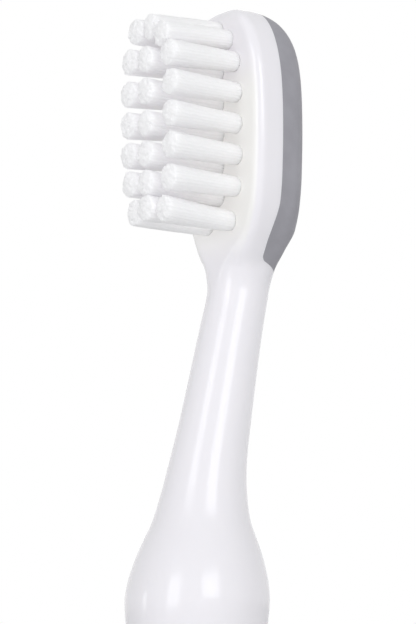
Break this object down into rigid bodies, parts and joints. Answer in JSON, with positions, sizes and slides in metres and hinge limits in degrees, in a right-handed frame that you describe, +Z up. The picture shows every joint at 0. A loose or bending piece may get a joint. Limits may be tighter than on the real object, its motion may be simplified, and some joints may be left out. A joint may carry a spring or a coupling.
{
  "type": "manual toothbrush",
  "caption": "Manual toothbrush with a compact head, a soft pad over the back of the head, soft handle grips and separate tufts held by anchors in blind holes.",
  "frame": {"origin": "centre of the flat face at the end of the handle", "axes": "+Z up the handle to the tip of the head, -Y the way the bristles point, +X across the head"},
  "size_m": [0.0134, 0.0138, 0.1498],
  "materials": {
    "white_plastic": "polished white moulded plastic",
    "grey_pad": "satin grey soft elastomer, moulded on",
    "metal_strip": "plain cut strip, hidden in the holes",
    "filament": "white nylon filament with rounded ends"
  },
  "bodies": {
    "root": {"handle": "white_plastic", "head_back_pad": "grey_pad", "thumb_pad": "grey_pad", "palm_pad": "grey_pad", "tuft_anchors": "metal_strip", "tuft_row1_left": "filament", "tuft_row1_middle": "filament", "tuft_row1_right": "filament", "tuft_row2_left": "filament", "tuft_row2_middle": "filament", "tuft_row2_right": "filament", "tuft_row3_left": "filament", "tuft_row3_middle": "filament", "tuft_row3_right": "filament", "tuft_row4_left": "filament", "tuft_row4_middle": "filament", "tuft_row4_right": "filament", "tuft_row5_left": "filament", "tuft_row5_middle": "filament", "tuft_row5_right": "filament", "tuft_row6_left": "filament", "tuft_row6_middle": "filament", "tuft_row6_right": "filament", "tuft_row7_left": "filament", "tuft_row7_middle": "filament", "tuft_row7_right": "filament"}
  },
  "joints": []
}
